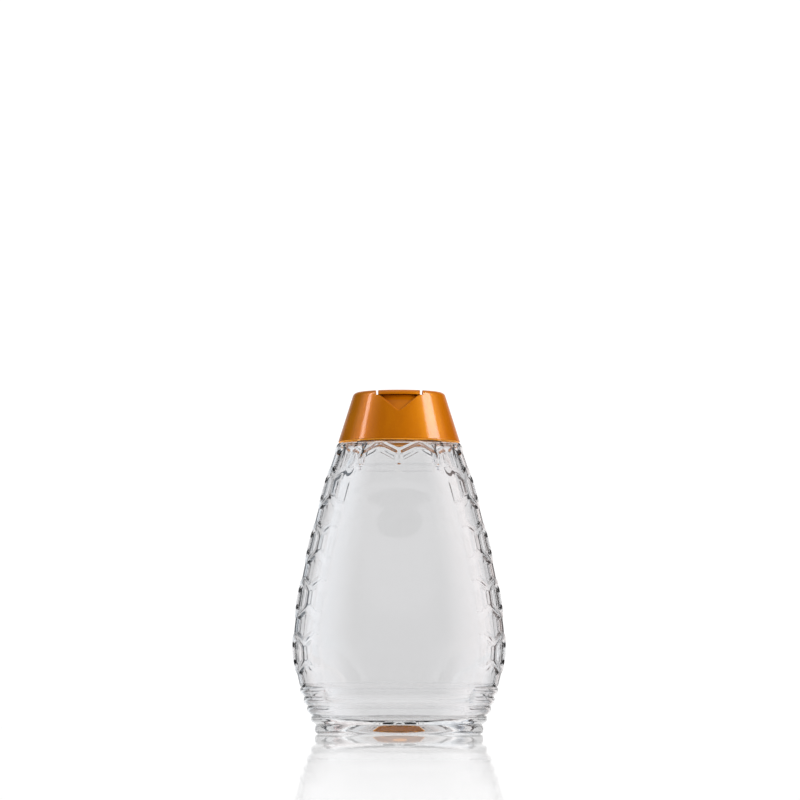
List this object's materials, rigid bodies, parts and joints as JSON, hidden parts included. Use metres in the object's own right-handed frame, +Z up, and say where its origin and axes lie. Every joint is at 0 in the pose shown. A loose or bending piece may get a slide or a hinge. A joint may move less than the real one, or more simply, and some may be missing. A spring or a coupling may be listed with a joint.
{
  "type": "squeeze bottle",
  "caption": "Clear squeeze bottle with honeycomb sides, smooth front and back panels, a stepped foot and an oval flip-top cap.",
  "frame": {"origin": "middle of the standing ring, on the surface the bottle stands on", "axes": "+Z up through the neck, +X to the right and across the wide side, -Y towards the thumb notch at the front"},
  "size_m": [0.089, 0.0584, 0.142],
  "materials": {
    "clear_pet": "gloss",
    "cap_plastic": "satin",
    "valve_silicone": "satin",
    "retainer_plastic": "satin",
    "liner_foam": "matte"
  },
  "bodies": {
    "bottle": {"bottle": "clear_pet"},
    "seal": {"sealing_liner": "liner_foam"},
    "cap": {"cap_body": "cap_plastic", "living_hinge": "cap_plastic", "silicone_valve": "valve_silicone", "valve_retainer": "retainer_plastic"},
    "lid": {"flip_lid": "cap_plastic"}
  },
  "joints": [
    {"name": "cap_lift", "type": "slide", "parent": "bottle", "child": "seal", "axis": [0, 0, 1], "range_m": [0, 0.0053]},
    {"name": "cap_turn", "type": "hinge", "parent": "seal", "child": "cap", "pos_m": [0, 0, 0.1273], "axis": [0, 0, 1], "range_deg": [0, 450]},
    {"name": "lid_hinge", "type": "hinge", "parent": "cap", "child": "lid", "pos_m": [0, 0.01695, 0.14], "axis": [-1, 0, 0], "range_deg": [0, 135], "deforming": ["living_hinge"]}
  ],
  "couplings": [
    {"joint": "cap_lift", "follows": "cap_turn", "m_per_rad": 0.00067322}
  ]
}
